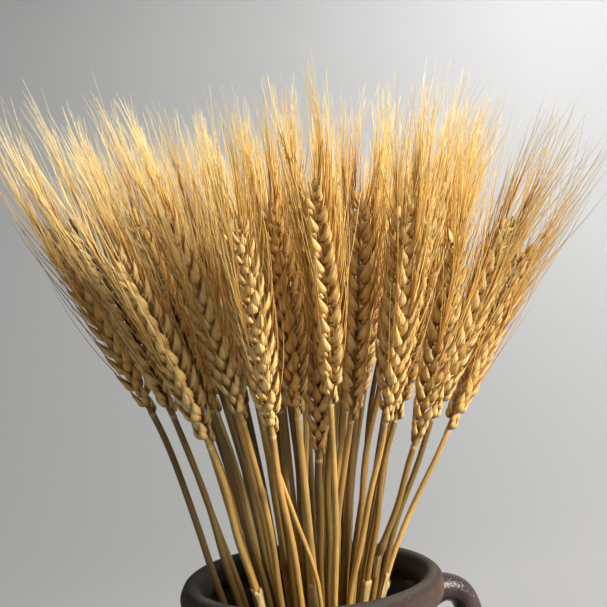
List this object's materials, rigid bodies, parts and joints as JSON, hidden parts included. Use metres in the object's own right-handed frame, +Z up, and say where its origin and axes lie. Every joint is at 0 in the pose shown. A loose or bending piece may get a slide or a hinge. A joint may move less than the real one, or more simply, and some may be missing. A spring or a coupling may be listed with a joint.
{
  "type": "dried wheat bunch in a handled jar",
  "caption": "Bunch of dried bearded wheat, its long-awned ears fanned out, standing in a dark stoneware jar with loop handles at the neck.",
  "frame": {"origin": "centre of the jar's flat foot, on the surface that it stands on", "axes": "+Z up along the jar's axis, -Y towards the viewer, +X to the viewer's right"},
  "size_m": [0.2606, 0.2474, 0.4594],
  "materials": {
    "jar": "dark brown glazed stoneware, glossy on the neck and handles, matte on the lip",
    "wheat": "dry straw, matte with a slight sheen"
  },
  "bodies": {
    "root": {"stoneware_jar": "jar", "jar_handle_right": "jar", "jar_handle_left": "jar", "wheat_stem_01": "wheat", "wheat_stem_02": "wheat", "wheat_stem_03": "wheat", "wheat_stem_04": "wheat", "wheat_stem_05": "wheat", "wheat_stem_06": "wheat", "wheat_stem_07": "wheat", "wheat_stem_08": "wheat", "wheat_stem_09": "wheat", "wheat_stem_10": "wheat", "wheat_stem_11": "wheat", "wheat_stem_12": "wheat", "wheat_stem_13": "wheat", "wheat_stem_14": "wheat", "wheat_stem_15": "wheat", "wheat_stem_16": "wheat", "wheat_stem_17": "wheat", "wheat_stem_18": "wheat", "wheat_stem_19": "wheat", "wheat_stem_20": "wheat", "wheat_stem_21": "wheat", "wheat_stem_22": "wheat", "wheat_stem_23": "wheat", "wheat_stem_24": "wheat", "wheat_stem_25": "wheat", "wheat_stem_26": "wheat", "wheat_stem_27": "wheat", "wheat_stem_28": "wheat", "wheat_stem_29": "wheat", "wheat_stem_30": "wheat", "wheat_stem_31": "wheat", "wheat_stem_32": "wheat", "wheat_stem_33": "wheat", "wheat_stem_34": "wheat", "wheat_stem_35": "wheat", "wheat_stem_36": "wheat", "wheat_stem_37": "wheat", "wheat_stem_38": "wheat", "wheat_stem_39": "wheat", "wheat_stem_40": "wheat"}
  },
  "joints": []
}
